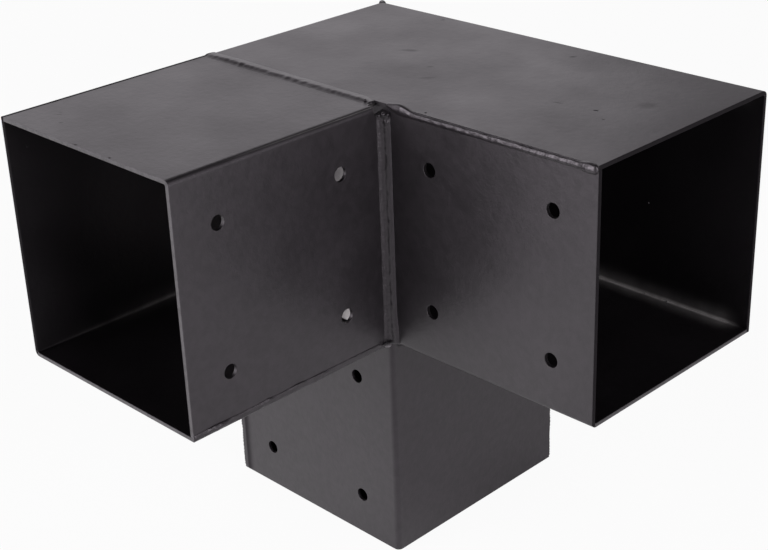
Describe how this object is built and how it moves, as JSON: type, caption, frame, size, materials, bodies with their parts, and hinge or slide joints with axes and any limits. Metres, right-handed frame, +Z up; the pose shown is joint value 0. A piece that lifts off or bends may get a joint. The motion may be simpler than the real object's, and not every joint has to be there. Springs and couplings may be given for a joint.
{
  "type": "pergola corner connector",
  "caption": "Pergola corner connector: square sockets for a post and crossing beams, folded from sheet steel, welded at right angles and powder coated black, with screw holes.",
  "frame": {"origin": "centre of the post socket's mouth, on the plane that the connector stands on", "axes": "+Z up along the post, +X out of the through box's mouth, -Y out of the side arm's mouth"},
  "size_m": [0.191, 0.191, 0.19],
  "materials": {
    "sheet": "satin black powder coat",
    "weld": "rippled weld bead under satin black powder coat"
  },
  "bodies": {
    "root": {"cover_sheet": "sheet", "cradle_sheet": "sheet", "arm_hood_sheet": "sheet", "arm_tray_sheet": "sheet", "post_front_sheet": "sheet", "post_rear_sheet": "sheet", "weld_box_top_seam": "weld", "weld_box_bottom_seam": "weld", "weld_box_corner_seam": "weld", "weld_arm_top_seam": "weld", "weld_arm_bottom_seam": "weld", "weld_post_left_seam": "weld", "weld_post_right_seam": "weld", "weld_arm_to_box_top": "weld", "weld_arm_to_box_inner": "weld", "weld_arm_to_box_outer": "weld", "weld_post_to_arm": "weld", "weld_post_to_box_right": "weld", "weld_post_to_box_back": "weld", "weld_post_to_box_left": "weld"}
  },
  "joints": []
}
